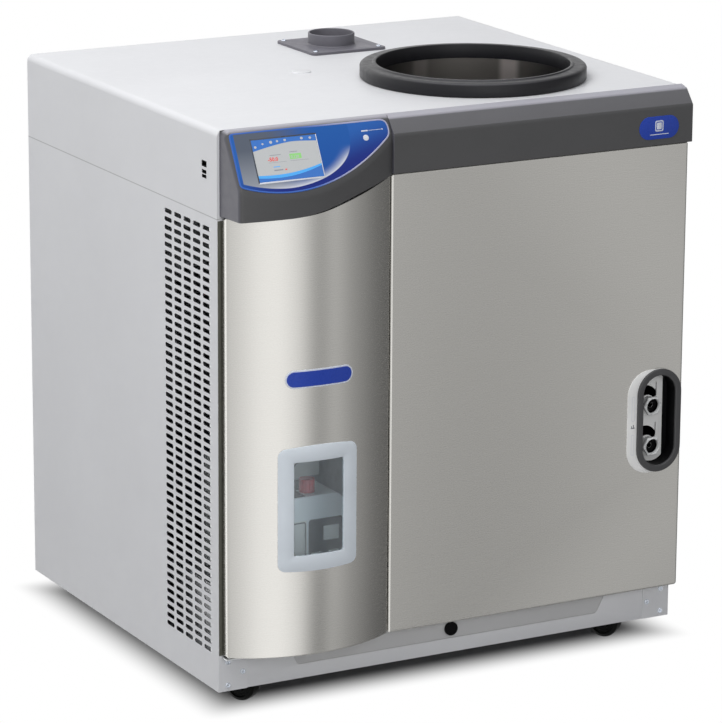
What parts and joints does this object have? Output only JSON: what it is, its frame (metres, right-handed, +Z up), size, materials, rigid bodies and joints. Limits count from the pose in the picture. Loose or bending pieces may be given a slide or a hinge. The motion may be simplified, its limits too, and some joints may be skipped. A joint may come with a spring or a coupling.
{
  "type": "freeze dryer",
  "caption": "Console freeze dryer: caster-mounted cabinet with a top collar over a cold chamber, a slanted touch panel, a curved windowed pump door and a drain port.",
  "frame": {"origin": "on the floor, under the centre of the machine's outer box", "axes": "+X towards the machine's right as seen by its user, +Y towards its back, +Z up"},
  "size_m": [0.808, 0.7475, 0.9246],
  "materials": {
    "cabinet_paint": "satin powder coat",
    "zinc_sheet": "zinc plated",
    "brushed_steel": "brushed stainless",
    "chamber_steel": "polished stainless",
    "screw_steel": "plated",
    "bezel_plastic": "fine grain",
    "duct_plastic": "moulded",
    "blue_film": "printed film",
    "screen_glass": "display",
    "board": "circuit board",
    "black_plastic": "moulded",
    "label_plastic": "printed plate",
    "ring_plastic": "moulded",
    "fitting_plastic": "moulded",
    "tube_plastic": "flexible tube",
    "collar_rubber": "moulded rubber",
    "foam": "insulation foam",
    "white_plastic": "moulded",
    "pump_paint": "enamel",
    "black_paint": "enamel",
    "fin_aluminium": "finned",
    "copper": "copper tube",
    "frame_plastic": "frosted",
    "window_clear": "clear",
    "red_plastic": "moulded",
    "caster_black": "enamel",
    "wheel_rubber": "moulded tyre"
  },
  "bodies": {
    "cabinet": {"base_pan": "zinc_sheet", "inner_frame": "zinc_sheet", "kick_plate": "cabinet_paint", "kick_plug": "black_plastic", "left_side_panel": "cabinet_paint", "right_side_panel": "cabinet_paint", "back_panel": "cabinet_paint", "hood": "cabinet_paint", "small_screws": "screw_steel", "control_bezel": "bezel_plastic", "band_bezel": "bezel_plastic", "display_overlay": "blue_film", "touchscreen": "screen_glass", "control_board": "board", "band_emblem": "blue_film", "side_ports": "black_plastic", "front_panel": "brushed_steel", "port_label": "label_plastic", "port_ring": "ring_plastic", "port_recess": "black_plastic", "port_bracket": "label_plastic", "drain_fittings": "fitting_plastic", "drain_tubes": "tube_plastic", "hinge_brackets": "zinc_sheet", "door_magnets": "black_plastic", "collar": "collar_rubber", "collector_chamber": "chamber_steel", "collector_coil": "chamber_steel", "insulation_jacket": "foam", "duct_outlet": "duct_plastic", "top_plug": "white_plastic", "pump_bay_wall": "zinc_sheet", "pump_shelf": "zinc_sheet", "pump_body": "pump_paint", "pump_motor": "pump_paint", "vacuum_hose": "collar_rubber", "exhaust_filter": "white_plastic", "compressor": "black_paint", "condenser": "fin_aluminium", "fan_shroud": "bezel_plastic", "fan_motor": "black_paint", "refrigerant_lines": "copper", "electrical_box": "zinc_sheet", "power_inlet": "black_plastic", "caster_plates": "zinc_sheet"},
    "pump_door": {"pump_door": "brushed_steel", "door_badge": "blue_film", "window_frame": "frame_plastic", "window_pane": "window_clear"},
    "ballast_knob": {"ballast_knob": "red_plastic"},
    "fan_rotor": {"fan_rotor": "black_plastic"},
    "power_rocker": {"power_rocker": "black_plastic"},
    "front_left_caster": {"front_left_fork": "caster_black"},
    "front_left_wheel": {"front_left_wheel": "wheel_rubber"},
    "front_right_caster": {"front_right_fork": "caster_black"},
    "front_right_wheel": {"front_right_wheel": "wheel_rubber"},
    "rear_left_caster": {"rear_left_fork": "caster_black"},
    "rear_left_wheel": {"rear_left_wheel": "wheel_rubber"},
    "rear_right_caster": {"rear_right_fork": "caster_black"},
    "rear_right_wheel": {"rear_right_wheel": "wheel_rubber"}
  },
  "joints": [
    {"name": "pump_door_hinge", "type": "hinge", "parent": "cabinet", "child": "pump_door", "pos_m": [-0.3915, -0.32225, 0.43], "axis": [0, 0, 1], "range_deg": [-100, 0]},
    {"name": "ballast_knob_turn", "type": "hinge", "parent": "cabinet", "child": "ballast_knob", "pos_m": [-0.219, -0.24425, 0.3065], "axis": [0, 0, 1], "range_deg": [0, 120]},
    {"name": "fan_spin", "type": "hinge", "parent": "cabinet", "child": "fan_rotor", "pos_m": [0.154, 0.34425, 0.2605], "axis": [0, 1, 0], "continuous": true},
    {"name": "power_switch", "type": "hinge", "parent": "cabinet", "child": "power_rocker", "pos_m": [-0.304, 0.36475, 0.6405], "axis": [1, 0, 0], "range_deg": [0, 16]},
    {"name": "front_left_swivel", "type": "hinge", "parent": "cabinet", "child": "front_left_caster", "pos_m": [-0.354, -0.25925, 0.066], "axis": [0, 0, 1], "continuous": true},
    {"name": "front_left_roll", "type": "hinge", "parent": "front_left_caster", "child": "front_left_wheel", "pos_m": [-0.345, -0.27484, 0.025], "axis": [0.866, 0.5, 0], "continuous": true},
    {"name": "front_right_swivel", "type": "hinge", "parent": "cabinet", "child": "front_right_caster", "pos_m": [0.298, -0.25925, 0.066], "axis": [0, 0, 1], "continuous": true},
    {"name": "front_right_roll", "type": "hinge", "parent": "front_right_caster", "child": "front_right_wheel", "pos_m": [0.30806, -0.27417, 0.025], "axis": [0.829, 0.5592, 0], "continuous": true},
    {"name": "rear_left_swivel", "type": "hinge", "parent": "cabinet", "child": "rear_left_caster", "pos_m": [-0.344, 0.31375, 0.066], "axis": [0, 0, 1], "continuous": true},
    {"name": "rear_left_roll", "type": "hinge", "parent": "rear_left_caster", "child": "rear_left_wheel", "pos_m": [-0.335, 0.32934, 0.025], "axis": [-0.866, 0.5, 0], "continuous": true},
    {"name": "rear_right_swivel", "type": "hinge", "parent": "cabinet", "child": "rear_right_caster", "pos_m": [0.344, 0.31375, 0.066], "axis": [0, 0, 1], "continuous": true},
    {"name": "rear_right_roll", "type": "hinge", "parent": "rear_right_caster", "child": "rear_right_wheel", "pos_m": [0.32709, 0.30759, 0.025], "axis": [0.342, -0.9397, 0], "continuous": true}
  ]
}
